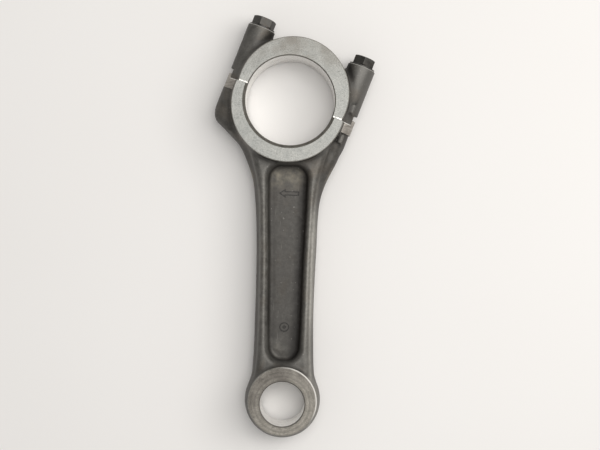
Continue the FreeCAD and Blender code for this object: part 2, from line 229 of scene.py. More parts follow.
def net(field, low, high):
    """A closed quad mesh of a distance field: one vertex in each cell that it crosses."""
    axes = [np.arange(a, b + GRID, GRID) for a, b in zip(low, high)]
    value = field(*np.meshgrid(*axes, indexing="ij"))
    inside = value < 0
    size = np.array(value.shape) - 1
    total = np.zeros((*size, 3))
    count = np.zeros(size)
    quads = []
    cells = [slice(0, n) for n in size]
    for axis in range(3):
        one, two = [c for c in range(3) if c != axis]
        start, stop = [slice(None)] * 3, [slice(None)] * 3
        start[axis], stop[axis] = slice(0, -1), slice(1, None)
        a, b = value[tuple(start)], value[tuple(stop)]
        crossing = inside[tuple(start)] != inside[tuple(stop)]
        share = np.where(crossing, a / np.where(crossing, a - b, 1.0), 0.0)
        for i in (0, 1):
            for k in (0, 1):
                part = list(cells)
                part[one] = slice(i, i + size[one])
                part[two] = slice(k, k + size[two])
                hit = crossing[tuple(part)]
                count += hit
                total[..., axis] += np.where(hit, share[tuple(part)], 0)
                total[..., one] += hit * i
                total[..., two] += hit * k
        inner = [slice(None)] * 3
        inner[one], inner[two] = slice(1, -1), slice(1, -1)
        found = np.argwhere(crossing[tuple(inner)])
        found[:, one] += 1
        found[:, two] += 1
        outward = inside[tuple(start)][tuple(found.T)]
        corners = []
        for i, k in ((-1, -1), (0, -1), (0, 0), (-1, 0)):
            corner = found.copy()
            corner[:, one] += i
            corner[:, two] += k
            corners.append(np.ravel_multi_index(tuple(corner.T), size))
        loop = np.stack(corners, axis=1)
        forward = outward if axis != 1 else ~outward
        quads.append(np.where(forward[:, None], loop, loop[:, ::-1]))
    used = count > 0
    number = np.full(used.size, -1)
    number[used.ravel()] = np.arange(used.sum())
    places = np.argwhere(used) + total[used] / count[used][:, None]
    points = np.array(low) + GRID * places
    return settle(field, points), number[np.concatenate(quads)]


def settle(field, points):
    """Move points onto the surface of the field along its slope."""
    nudge = 0.02
    for _ in range(2):
        x, y, z = points.T
        here = field(x, y, z)
        slope = np.stack([field(x + nudge, y, z) - here, field(x, y + nudge, z) - here,
                          field(x, y, z + nudge) - here], axis=1) / nudge
        steep = np.maximum((slope**2).sum(axis=1), 0.2)
        points = points - np.clip(here / steep, -0.3, 0.3)[:, None] * slope
    return points


def new_object(name, points, faces):
    mesh = bpy.data.meshes.new(name)
    loops = faces.tolist() if isinstance(faces, np.ndarray) else faces
    mesh.from_pydata(np.asarray(points, float).tolist(), [], loops)
    mesh.update()
    piece = bpy.data.objects.new(name, mesh)
    bpy.context.scene.collection.objects.link(piece)
    return piece


@contextmanager
def editing(piece):
    """The mesh of a piece, open for bmesh operations."""
    mesh = bmesh.new()
    mesh.from_mesh(piece.data)
    yield mesh
    mesh.to_mesh(piece.data)
    mesh.free()


def loop_faces(rows, count, closed=False):
    """Quads between neighbouring rows of points, where each row is a closed loop."""
    faces = []
    for row in range(rows if closed else rows - 1):
        base, top = row * count, (row + 1) % rows * count
        for i in range(count):
            j = (i + 1) % count
            faces.append((base + i, base + j, top + j, top + i))
    return faces


# ------------------------------------------------ cutters

def lathe(name, profile, segments):
    """A solid of revolution about Z.  The (radius, height) points end on the axis or close."""
    angles = np.linspace(0, 2 * math.pi, segments, endpoint=False)
    points = [(r * math.cos(a), r * math.sin(a), z) for r, z in profile for a in angles]
    piece = new_object(name, points, loop_faces(len(profile), segments))
    with editing(piece) as mesh:
        bmesh.ops.remove_doubles(mesh, verts=mesh.verts, dist=1e-5)
        bmesh.ops.recalc_face_normals(mesh, faces=mesh.faces)
    return piece


def block(name, low, high, turn=0.0):
    """A box between two corners, turned about Z."""
    corners = [(x, y, z) for x in (low[0], high[0]) for y in (low[1], high[1])
               for z in (low[2], high[2])]
    faces = [(0, 1, 3, 2), (4, 6, 7, 5), (0, 4, 5, 1), (2, 3, 7, 6), (0, 2, 6, 4), (1, 5, 7, 3)]
    piece = new_object(name, corners, faces)
    piece.data.transform(Matrix.Rotation(turn, 4, "Z"))
    return piece


def along_screws(piece, s, t=0.0, turn=-SPLIT_ANGLE):
    """Stand a piece made about Z on a screw axis, pointing the way the screws come out."""
    upright = Matrix.Rotation(-math.pi / 2, 4, "X")
    piece.data.transform(Matrix.Rotation(turn, 4, "Z") @ Matrix.Translation((s, t, 0)) @ upright)
    return piece


def cut(piece, cutter, operation="DIFFERENCE"):
    """Apply one boolean operation, and drop the cutter."""
    modifier = piece.modifiers.new("cut", "BOOLEAN")
    modifier.operation = operation
    modifier.solver = "MANIFOLD"
    modifier.object = cutter
    bpy.context.view_layer.update()
    result = piece.evaluated_get(bpy.context.evaluated_depsgraph_get())
    mesh = bpy.data.meshes.new_from_object(result)
    piece.modifiers.remove(modifier)
    old = piece.data
    piece.data = mesh
    bpy.data.meshes.remove(old)
    bpy.data.objects.remove(cutter)


def bore_cutter(radius, half_width, chamfer):
    """A boring bar's path: straight in the middle, chamfered at both faces."""
    reach = 4.0
    wide = radius + chamfer + reach
    outer = half_width + reach
    inner = half_width - chamfer
    profile = [(0, -outer), (wide, -outer), (radius, -inner), (radius, inner), (wide, outer),
               (0, outer)]
    return lathe("bore_cutter", profile, 256)


def face_both_sides(piece, low, high, half_width, turn=0.0):
    """Mill the part between two corners flat, at the same height above and below."""
    for bottom, top in ((-CLEAR, -half_width), (half_width, CLEAR)):
        cut(piece, block("facing", (*low, bottom), (*high, top), turn))


def ease_rim(piece, s, t, radius, face, turn):
    """Break the outer edge of a machined ring on both faces."""
    above = 0.3
    edge = radius - RIM_CHAMFER
    outside = radius + 3.0
    profile = [(edge - above, above), (edge + CHAMFER_REACH, -CHAMFER_REACH),
               (outside, -CHAMFER_REACH), (outside, 2 * above), (edge - above, 2 * above),
               (edge - above, above)]
    for flip in (0.0, math.pi):
        ring = lathe("rim_cutter", profile, 200)
        ring.data.transform(Matrix.Rotation(turn, 4, "Z") @ Matrix.Translation((s, t, 0))
                            @ Matrix.Rotation(flip, 4, "X") @ Matrix.Translation((0, 0, face)))
        cut(piece, ring)


def weld(piece):
    """Close the hairline slivers that the cuts leave along their edges."""
    with editing(piece) as mesh:
        bmesh.ops.remove_doubles(mesh, verts=mesh.verts, dist=WELD)
        bmesh.ops.dissolve_degenerate(mesh, edges=mesh.edges, dist=SLIVER)


def vectors(items, name):
    """One vector for each vertex or face, as an array."""
    values = np.empty(len(items) * 3)
    items.foreach_get(name, values)
    return values.reshape(-1, 3)


def soil(piece, field):
    """Store how hollow and how proud the forging is at each point, for grime with painted
    occlusion shade, and for wear.
    """
    points = vectors(piece.data.vertices, "co")
    normals = vectors(piece.data.vertices, "normal")
    hollow = sum(1 - field(*(points + reach * normals).T) / reach for reach in (1.5, 3.5, 7.0))
    proud = sum(1 + field(*(points - reach * normals).T) / reach for reach in (1.2, 2.3, 3.4))
    for name, value in (("hollow", hollow / 3), ("proud", proud / 3)):
        layer = piece.data.attributes.new(name, "FLOAT", "POINT")
        layer.data.foreach_set("value", np.clip(value, 0.0, 1.0))


# ------------------------------------------------ marks in the pocket

ARROW = [(-4.4, 0.0), (-1.9, 1.7), (-1.9, 0.8), (4.4, 0.8), (4.4, -0.8), (-1.9, -0.8),
         (-1.9, -1.7)]
ARROW_CENTRE = (0.7, -43.3)
RINGS_CENTRE = (0.0, -106.9)
MARKS_UP_TO = -41.0
MARKS_DOWN_TO = -112.0
RING_RADII = (2.05, 0.55)
MARK_WIDTH = 0.5
MARK_ROOT = WEB_TOP - 0.5
MARK_TOP = WEB_TOP + 0.4


def ring_path(radius):
    angles = np.linspace(0, 2 * math.pi, 28, endpoint=False)
    return [(radius * math.cos(a), radius * math.sin(a)) for a in angles]


def ridge(path, centre):
    """A raised line along a closed path on the pocket floor, narrower at its top."""
    points = np.array(path)
    before = points - np.roll(points, 1, axis=0)
    after = np.roll(points, -1, axis=0) - points
    before /= np.linalg.norm(before, axis=1)[:, None]
    after /= np.linalg.norm(after, axis=1)[:, None]
    bisector = np.stack([-(before + after)[:, 1], (before + after)[:, 0]], axis=1)
    mitre = bisector / np.maximum((bisector * bisector).sum(axis=1) / 2, 0.35)[:, None]
    rows = []
    for offset, height in ((-0.5, MARK_ROOT), (0.5, MARK_ROOT), (0.3, MARK_TOP), (-0.3, MARK_TOP)):
        place = points + offset * MARK_WIDTH * mitre + np.array(centre)
        rows.append(np.column_stack([place, np.full(len(place), height)]))
    faces = loop_faces(len(rows), len(path), closed=True)
    piece = new_object("ridge", np.concatenate(rows), faces)
    with editing(piece) as mesh:
        bmesh.ops.recalc_face_normals(mesh, faces=mesh.faces)
    return piece


# ------------------------------------------------ rod and cap

def make_rod():
    low, high = (-37.5, -162.5, -15.0), (36.0, 17.5, 15.0)
    rod = new_object("rod_forging", *net(rod_forging, low, high))
    turn = -SPLIT_ANGLE
    face_both_sides(rod, (-WIDE, -WIDE), (WIDE, WIDE), BIG_HALF_WIDTH, turn)
    face_both_sides(rod, (-25, -170), (25, SMALL_END_TOP), SMALL_HALF_WIDTH)
    cut(rod, block("above_lips", (-WIDE, LIP_HEIGHT, -CLEAR), (WIDE, WIDE, CLEAR), turn))
    cut(rod, block("split", (-LIP_INNER, 0, -CLEAR), (LIP_INNER, 10, CLEAR), turn))
    cut(rod, bore_cutter(CRANK_RADIUS, BIG_HALF_WIDTH, CRANK_CHAMFER))
    pin = bore_cutter(PIN_RADIUS, SMALL_HALF_WIDTH, PIN_CHAMFER)
    pin.data.transform(Matrix.Translation((0, -CENTRE_DISTANCE, 0)))
    cut(rod, pin)
    for side in (-1, 1):
        mouth = TAPPED_RADIUS + TAPPED_EDGE + 0.2
        tap = lathe("tap", [(0, -TAPPED_DEPTH - DRILL_POINT), (TAPPED_RADIUS, -TAPPED_DEPTH),
                            (TAPPED_RADIUS, -TAPPED_EDGE), (mouth, 0.2), (mouth, 5.0), (0, 5.0)],
                    64)
        cut(rod, along_screws(tap, side * SCREW_S))
        near, far = sorted((side * 27.6, side * 36.0))
        band = block("band", (near, -JOINT_BAND, -BOSS_CLEAR), (far, 6, BOSS_CLEAR), turn)
        core = lathe("core", [(0, -9), (BOSS_RADIUS, -9), (BOSS_RADIUS, 9), (0, 9)], 96)
        cut(band, along_screws(core, side * SCREW_S))
        cut(rod, band)
    ease_rim(rod, 0.0, ROD_RING_OFFSET, ROD_RING_RADIUS, BIG_HALF_WIDTH, turn)
    ease_rim(rod, 0.0, SMALL_RING_Y, SMALL_RING_RADIUS, SMALL_HALF_WIDTH, 0.0)
    cut(rod, ridge(ARROW, ARROW_CENTRE), "UNION")
    for radius in RING_RADII:
        cut(rod, ridge(ring_path(radius), RINGS_CENTRE), "UNION")
    weld(rod)
    soil(rod, rod_forging)
    return rod


def make_cap():
    low, high = (-34.0, -2.5, -15.0), (34.0, 32.5, 15.0)
    cap = new_object("cap_forging", *net(cap_forging, low, high))
    face_both_sides(cap, (-WIDE, -WIDE), (WIDE, WIDE), BIG_HALF_WIDTH)
    cut(cap, block("below_split", (-WIDE, -10, -CLEAR), (WIDE, 0, CLEAR)))
    for side in (-1, 1):
        near, far = sorted((side * SEAT_INNER, side * WIDE))
        cut(cap, block("above_seat", (near, SEAT_HEIGHT, -BOSS_CLEAR), (far, 40, BOSS_CLEAR)))
        near, far = sorted((side * (LIP_INNER - LIP_CLEARANCE), side * WIDE))
        cut(cap, block("tongue_side", (near, -5, -BOSS_CLEAR), (far, LEDGE_HEIGHT, BOSS_CLEAR)))
    cut(cap, bore_cutter(CRANK_RADIUS, BIG_HALF_WIDTH, CAP_CHAMFER))
    top = SEAT_HEIGHT + 5
    for side in (-1, 1):
        drill = lathe("drill", [(0, -5), (HOLE_RADIUS, -5), (HOLE_RADIUS, top), (0, top)], 64)
        cut(cap, along_screws(drill, side * SCREW_S, turn=0.0))
    ease_rim(cap, 0.0, CAP_RING_OFFSET, CAP_RING_RADIUS, BIG_HALF_WIDTH, 0.0)
    inner = BOSS_RADIUS - SEAT_CHAMFER
    outer = inner + 2.0
    profile = [(inner, 0.1), (inner + 0.1 + CHAMFER_REACH, -CHAMFER_REACH),
               (outer, -CHAMFER_REACH), (outer, 0.5), (inner, 0.5), (inner, 0.1)]
    for side in (-1, 1):
        edge = lathe("seat_edge", profile, 96)
        cut(cap, along_screws(edge, side * SCREW_S, SEAT_HEIGHT, turn=0.0))
    weld(cap)
    soil(cap, cap_forging)
    cap.data.transform(Matrix.Rotation(-SPLIT_ANGLE, 4, "Z"))
    return cap


# ------------------------------------------------ screws and washers

def thread_radius(height, angle):
    """Radius of the rolled thread: a V one pitch wide with flattened crests and roots."""
    turns = (height / THREAD_PITCH - angle / (2 * math.pi)) % 1.0
    flank = np.clip(abs(turns - 0.5) * 2 * 1.15 - 0.08, 0.0, 1.0)
    return SCREW_RADIUS - THREAD_DEPTH * (1.0 - flank)


def make_shank():
    """The screw below its head, tip down, as one fine lathe skin."""
    segments = 48
    angles = np.linspace(0, 2 * math.pi, segments, endpoint=False)
    fine = np.arange(-SCREW_LENGTH, -SCREW_LENGTH + THREAD_LENGTH + 1.0, THREAD_PITCH / 12)
    coarse = np.linspace(fine[-1] + 0.3, 0.2, 8)
    heights = np.concatenate([fine, coarse])
    rows = []
    for height in heights:
        radius = thread_radius(height, angles)
        taper = SCREW_RADIUS - 0.75 + (height + SCREW_LENGTH) * 0.9
        runout = np.clip((height + SCREW_LENGTH - THREAD_LENGTH + 1.5) / 1.5, 0.0, 1.0)
        radius = np.minimum(radius + (SCREW_RADIUS - radius) * runout, taper)
        rows.append(np.stack([radius * np.cos(angles), radius * np.sin(angles),
                              np.full(segments, height)], axis=1))
    points = np.concatenate(rows + [np.array([[0, 0, heights[0]], [0, 0, heights[-1]]])])
    faces = loop_faces(len(heights), segments)
    last = (len(heights) - 1) * segments
    tip = len(points) - 2
    for i in range(segments):
        j = (i + 1) % segments
        faces.append((tip, j, i))
        faces.append((tip + 1, last + i, last + j))
    return points, faces


def make_head(turn):
    """A forged hexagon head: chamfered corners and a shallow dished top."""
    top = lathe("head", [(0, 0.0), (HEAD_FLAT - 0.25, 0.0), (HEAD_FLAT + 0.1, 0.2),
                         (HEAD_FLAT + 1.2, 0.55), (HEAD_FLAT + 1.2, HEAD_HEIGHT - 0.75),
                         (HEAD_FLAT + 0.1, HEAD_HEIGHT - 0.22), (HEAD_FLAT - 0.45, HEAD_HEIGHT),
                         (HEAD_FLAT - 1.1, HEAD_HEIGHT), (HEAD_FLAT - 1.6, HEAD_HEIGHT - 0.25),
                         (0, HEAD_HEIGHT - 0.25)], 96)
    reach = HEAD_FLAT / math.cos(math.radians(30))
    hexagon = lathe("hexagon", [(0, -1), (reach, -1), (reach, 6), (0, 6)], 6)
    edges = hexagon.modifiers.new("soft", "BEVEL")
    edges.width = 0.22
    edges.segments = 3
    cut(top, hexagon, "INTERSECT")
    top.data.transform(Matrix.Rotation(turn, 4, "Z"))
    return top


def join(name, *pieces):
    """One object from several, each still a closed shell."""
    mesh = bmesh.new()
    for piece in pieces:
        mesh.from_mesh(piece.data)
    data = bpy.data.meshes.new(name)
    mesh.to_mesh(data)
    mesh.free()
    for piece in pieces:
        bpy.data.objects.remove(piece)
    joined = bpy.data.objects.new(name, data)
    bpy.context.scene.collection.objects.link(joined)
    return joined


def make_screw(side, sign, turn):
    shank = new_object("shank", *make_shank())
    screw = join(f"hex_screw_{side}", shank, make_head(turn))
    return along_screws(screw, sign * SCREW_S, SEAT_HEIGHT + WASHER_THICKNESS)


def make_washer(side, sign):
    """A stamped washer: rolled outer edge on top, sharp burr below."""
    thick = WASHER_THICKNESS
    hole, rim = HOLE_RADIUS, WASHER_RADIUS
    profile = [(hole + 0.08, 0), (rim - 0.03, 0), (rim, 0.04), (rim - 0.02, thick - 0.16),
               (rim - 0.16, thick - 0.02), (rim - 0.3, thick), (hole + 0.2, thick),
               (hole + 0.04, thick - 0.08), (hole, thick - 0.2), (hole, 0.08),
               (hole + 0.08, 0)]
    washer = lathe(f"plain_washer_{side}", profile, 96)
    return along_screws(washer, sign * SCREW_S, SEAT_HEIGHT)


# ------------------------------------------------ materials

class Finish:
    """A node material built around one Principled shader, in object coordinates."""

    def __init__(self, name, metallic, roughness):
        self.material = bpy.data.materials.new(name)
        self.material.use_nodes = True
        self.tree = self.material.node_tree
        self.shader = self.tree.nodes["Principled BSDF"]
        self.shader.inputs["Metallic"].default_value = metallic
        self.shader.inputs["Roughness"].default_value = roughness
        self.place = self.tree.nodes.new("ShaderNodeTexCoord").outputs["Object"]

    def link(self, source, node, name):
        self.tree.links.new(source, node.inputs[name])

    def noise(self, size_mm, detail=3.0, roughness=0.55, distortion=0.0, stretch=None):
        """Clouds about as wide as size_mm, stretched along the big end's own axes if asked."""
        node = self.tree.nodes.new("ShaderNodeTexNoise")
        node.inputs["Scale"].default_value = 1.0 / (size_mm * MM)
        node.inputs["Detail"].default_value = detail
        node.inputs["Roughness"].default_value = roughness
        node.inputs["Distortion"].default_value = distortion
        place = self.place
        if stretch:
            mapping = self.tree.nodes.new("ShaderNodeMapping")
            mapping.inputs["Scale"].default_value = stretch
            mapping.inputs["Rotation"].default_value = (0, 0, SPLIT_ANGLE)
            self.link(place, mapping, "Vector")
            place = mapping.outputs["Vector"]
        self.link(place, node, "Vector")
        return node.outputs["Fac"]

    def ramp(self, source, *stops):
        """Colours (or greys) laid along a value from 0 to 1."""
        node = self.tree.nodes.new("ShaderNodeValToRGB")
        elements = node.color_ramp.elements
        while len(elements) < len(stops):
            elements.new(0.5)
        for element, (place, colour) in zip(elements, stops):
            element.position = place
            if not isinstance(colour, tuple):
                colour = (colour, colour, colour)
            element.color = (*colour, 1.0)
        self.link(source, node, "Fac")
        return node.outputs["Color"]

    def mix(self, share, a, b, how="MIX"):
        """Blend colour b over a; each may be an output or a fixed colour."""
        node = self.tree.nodes.new("ShaderNodeMix")
        node.data_type = "RGBA"
        node.blend_type = how
        share_socket, a_socket, b_socket, colour_out = 0, 6, 7, 2
        for socket, value in ((share_socket, share), (a_socket, a), (b_socket, b)):
            if isinstance(value, bpy.types.NodeSocket):
                self.tree.links.new(value, node.inputs[socket])
            elif socket == share_socket:
                node.inputs[socket].default_value = value
            else:
                node.inputs[socket].default_value = (*value, 1.0)
        return node.outputs[colour_out]

    def maths(self, how, a, b=0.0):
        node = self.tree.nodes.new("ShaderNodeMath")
        node.operation = how
        for socket, value in ((0, a), (1, b)):
            if isinstance(value, bpy.types.NodeSocket):
                self.tree.links.new(value, node.inputs[socket])
            else:
                node.inputs[socket].default_value = value
        return node.outputs[0]

    def times(self, first, *others):
        """Several masks multiplied together."""
        for mask in others:
            first = self.maths("MULTIPLY", first, mask)
        return first

    def along(self, direction, unit_mm=1.0):
        """Distance from the origin along a direction, in units of so many millimetres."""
        node = self.tree.nodes.new("ShaderNodeVectorMath")
        node.operation = "DOT_PRODUCT"
        node.inputs[1].default_value = [part / MM / unit_mm for part in direction]
        self.tree.links.new(self.place, node.inputs[0])
        return node.outputs["Value"]

    def rings_about(self, centre, size_mm):
        """Fine rings about a bore axis, uneven from one to the next."""
        flat = self.tree.nodes.new("ShaderNodeVectorMath")
        flat.operation = "MULTIPLY"
        flat.inputs[1].default_value = (1.0, 1.0, 0.0)
        self.tree.links.new(self.place, flat.inputs[0])
        reach = self.tree.nodes.new("ShaderNodeVectorMath")
        reach.operation = "DISTANCE"
        reach.inputs[1].default_value = [part * MM for part in centre]
        self.tree.links.new(flat.outputs["Vector"], reach.inputs[0])
        node = self.tree.nodes.new("ShaderNodeTexNoise")
        node.noise_dimensions = "1D"
        node.inputs["Scale"].default_value = 1.0 / (size_mm * MM)
        node.inputs["Detail"].default_value = 3.0
        self.tree.links.new(reach.outputs["Value"], node.inputs["W"])
        return node.outputs["Fac"]

    def attribute(self, name):
        node = self.tree.nodes.new("ShaderNodeAttribute")
        node.attribute_name = name
        return node.outputs["Fac"]

    def near_split(self, middle, half_width, ragged):
        """1 in a line along the split, whose edges wander by ragged millimetres."""
        rough = self.times(self.noise(1.1, detail=3.0, roughness=0.7), 2.0 * ragged)
        half = self.maths("ADD", self.maths("SUBTRACT", rough, ragged), half_width)
        away = self.maths("SUBTRACT", self.along(SCREW_DIRECTION), middle)
        return self.maths("LESS_THAN", self.maths("ABSOLUTE", away), half)

    def colour(self, source):
        self.link(source, self.shader, "Base Color")

    def roughness(self, source, low, high):
        self.link(self.ramp(source, (0.25, low), (0.75, high)), self.shader, "Roughness")

    def relief(self, *layers):
        """Stack bumps, each (height source, depth in mm)."""
        normal = None
        for source, depth in layers:
            node = self.tree.nodes.new("ShaderNodeBump")
            node.inputs["Strength"].default_value = 1.0
            node.inputs["Distance"].default_value = depth * MM
            self.link(source, node, "Height")
            if normal:
                self.link(normal, node, "Normal")
            normal = node.outputs["Normal"]
        self.link(normal, self.shader, "Normal")


SCREW_DIRECTION = (math.sin(SPLIT_ANGLE), math.cos(SPLIT_ANGLE), 0.0)


class ForgedSkin(Finish):
    """Forged aluminium under years of baked oil: coats laid one after another over the metal,
    among them painted shade and painted highlights.
    """

    dark = (0.072, 0.069, 0.063)
    light = (0.140, 0.135, 0.124)
    brown = (0.098, 0.081, 0.063)
    # oil stain and painted shade for the recessed web
    oil_and_shade = (0.030, 0.027, 0.024)
    # dust with a painted sheen, for the top end of the pocket floor
    dust_and_sheen = (0.27, 0.24, 0.18)
    pale_silt = (0.26, 0.25, 0.225)
    # painted shadow along the pocket's right-hand wall
    painted_shade = (0.012, 0.010, 0.009)
    bare = (0.34, 0.325, 0.295)
    # handling wear with a painted highlight, for the right flank
    handled_and_lit = (0.44, 0.425, 0.385)
    # painted highlight streak for the right flange's crest
    painted_highlight = (0.70, 0.68, 0.63)
    wiped = (0.24, 0.235, 0.22)
    # painted shade for the left flank
    left_flank_shade = (0.036, 0.032, 0.027)
    scuff = (0.24, 0.23, 0.21)
    # grime and painted occlusion shade for the hollows
    grime_and_shade = (0.016, 0.014, 0.012)
    speck = (0.30, 0.29, 0.27)
    nick = (0.80, 0.78, 0.74)

    def __init__(self, name):
        super().__init__(name, metallic=0.45, roughness=0.40)
        self.height = self.maths("ABSOLUTE", self.along((0.0, 0.0, 1.0), 10.0))
        self.down = self.along((0.0, -1.0, 0.0), 100.0)
        self.far_down = self.along((0.0, -1.0, 0.0), 200.0)
        self.right = self.along((1.0, 0.0, 0.0), 20.0)
        self.far_right = self.along((1.0, 0.0, 0.0), 40.0)
        self.boss = self.ramp(self.far_right, (0.70, 0.0), (0.85, 1.0))
        self.above_end = self.ramp(self.far_down, (0.50, 1.0), (0.56, 0.45))
        self.patches = self.noise(8.0, detail=6.0, roughness=0.6, distortion=0.4)
        self.grain = self.noise(0.8, detail=4.0, roughness=0.7)
        uneven = self.noise(2.2, detail=5.0, roughness=0.7)
        self.uneven = self.ramp(uneven, (0.40, 0.22), (0.62, 1.0))
        base = self.pocket(self.metal())
        base = self.flanks(self.edges(base))
        self.colour(self.marks(base))
        self.roughness(self.patches, 0.42, 0.60)
        self.relief((self.noise(2.2, detail=3.0), 0.05), (self.grain, 0.02))

    def metal(self):
        """The dull skin of the forging, stained brown in patches."""
        base = self.ramp(self.patches, (0.34, self.dark), (0.66, self.light))
        stain = self.noise(13.0, detail=4.0, distortion=0.8)
        base = self.mix(self.ramp(stain, (0.50, 0.0), (0.66, 0.6)), base, self.brown)
        grain = self.ramp(self.grain, (0.3, 0.2), (0.72, 0.85))
        return self.mix(0.35, base, grain, "OVERLAY")

    def pocket(self, base):
        """Oil and painted shade on the recessed web, dust at both ends of it with a painted sheen
        at the top end, and a painted shadow along the right-hand wall.
        """
        # oil stain with painted shade of the recess: darker the nearer the surface lies to mid
        # width
        base = self.mix(self.ramp(self.height, (0.26, 0.72), (0.60, 0.0)), base, self.oil_and_shade)
        dust = self.noise(4.0, detail=6.0, distortion=0.2)
        dust = self.times(self.ramp(dust, (0.38, 0.05), (0.66, 0.55)),
                          self.ramp(self.height, (0.26, 1.0), (0.34, 0.0)))
        # dust with a painted sheen at the top end of the pocket floor
        top = self.times(self.ramp(self.down, (0.27, 0.0), (0.34, 1.0)),
                         self.ramp(self.down, (0.35, 1.0), (0.43, 0.0)))
        base = self.mix(self.times(top, dust), base, self.dust_and_sheen)
        bottom = self.times(self.ramp(self.far_down, (0.545, 0.0), (0.585, 0.8)),
                            self.ramp(self.far_right, (0.0, 1.0), (0.10, 0.0)),
                            self.ramp(self.height, (0.27, 1.0), (0.50, 0.0)))
        base = self.mix(self.times(bottom, dust), base, self.pale_silt)
        # painted shadow along the right-hand wall and the floor beside it
        slanted = self.along((1.0, -0.036, 0.0), 20.0)
        wall = self.times(self.ramp(slanted, (0.29, 0.0), (0.445, 0.92)),
                          self.ramp(self.height, (0.30, 1.0), (0.80, 0.0)),
                          self.ramp(self.down, (0.30, 0.0), (0.40, 1.0)),
                          self.ramp(self.right, (0.48, 1.0), (0.54, 0.0)))
        return self.mix(wall, base, self.painted_shade)

    def edges(self, base):
        """Metal showing through on the ridges, less on the right boss and the small end."""
        proud = self.ramp(self.attribute("proud"), (0.10, 0.0), (0.72, 0.52))
        proud = self.times(self.mix(self.boss, proud, (0.04, 0.04, 0.04)), self.above_end)
        return self.mix(self.times(proud, self.uneven), base, self.bare)

    def flanks(self, base):
        """The right flank lighter from handling wear and a painted highlight, a painted highlight
        on its crest, painted shade on the left flank.
        """
        below_shoulders = self.ramp(self.down, (0.46, 0.0), (0.62, 0.85))
        fine = self.ramp(self.noise(1.6, detail=5.0, roughness=0.7), (0.36, 0.55), (0.64, 1.0))
        # the right flank lighter: handling wear with a painted highlight on the side facing the
        # key lamp
        rubbed_and_lit = self.times(self.ramp(self.right, (0.47, 0.0), (0.60, 1.0)), below_shoulders, fine,
                            self.ramp(self.height, (0.10, 0.35), (0.70, 1.0)), self.above_end)
        base = self.mix(rubbed_and_lit, base, self.handled_and_lit)
        # painted highlight streak along the right flange's crest
        crest_highlight = self.times(self.ramp(self.right, (0.57, 0.0), (0.62, 0.8)),
                           self.ramp(self.right, (0.66, 1.0), (0.70, 0.0)),
                           self.ramp(self.height, (0.55, 0.0), (0.75, 1.0)),
                           below_shoulders, self.above_end, self.uneven)
        base = self.mix(crest_highlight, base, self.painted_highlight)
        base = self.mix(self.times(self.boss, 0.28), base, self.wiped)
        # painted shade on the left flank, the side away from the key lamp
        left = self.ramp(self.along((-1.0, 0.0, 0.0), 20.0), (0.57, 0.0), (0.67, 0.55))
        return self.mix(self.times(left, below_shoulders), base, self.left_flank_shade)

    def marks(self, base):
        """Scuffs, grime and painted occlusion shade in the hollows, bright specks and the nicked
        edge of the split.
        """
        scuffs = self.noise(2.6, detail=4.0, roughness=0.6, stretch=(3.0, 0.35, 3.0))
        base = self.mix(self.ramp(scuffs, (0.62, 0.0), (0.76, 0.35)), base, self.scuff)
        # grime with painted occlusion shade, darkest in the hollows
        hollow = self.ramp(self.attribute("hollow"), (0.08, 0.0), (0.55, 0.85))
        base = self.mix(hollow, base, self.grime_and_shade)
        specks = self.noise(1.4, detail=2.0, roughness=0.6)
        base = self.mix(self.ramp(specks, (0.69, 0.0), (0.76, 0.6)), base, self.speck)
        return self.mix(self.near_split(0.15, 0.16, 0.25), base, self.nick)


def dull_edge(name, dark, light, rim_highlight=0.0):
    """A small machined edge or a cast line under old oil; rim_highlight paints a highlight on the
    small end's rim.
    """
    finish = Finish(name, metallic=0.2, roughness=0.5)
    clouds = finish.noise(2.4, detail=5.0, roughness=0.65)
    base = finish.ramp(clouds, (0.32, dark), (0.68, light))
    grain = finish.noise(0.5, detail=3.0)
    base = finish.mix(0.5, base, finish.ramp(grain, (0.3, 0.25), (0.7, 0.75)), "OVERLAY")
    if rim_highlight:
        # painted highlight on the small end's rim, on the side facing the key lamp
        small_end_offset = 3.53
        way = finish.maths("ADD", finish.along((0.87, 0.5, 0.0), 20.0), small_end_offset)
        base = finish.mix(finish.ramp(way, (0.30, 0.0), (0.62, rim_highlight)), base, (0.78, 0.76, 0.72))
    finish.colour(base)
    finish.roughness(clouds, 0.42, 0.60)
    finish.relief((grain, 0.012))
    return finish.material


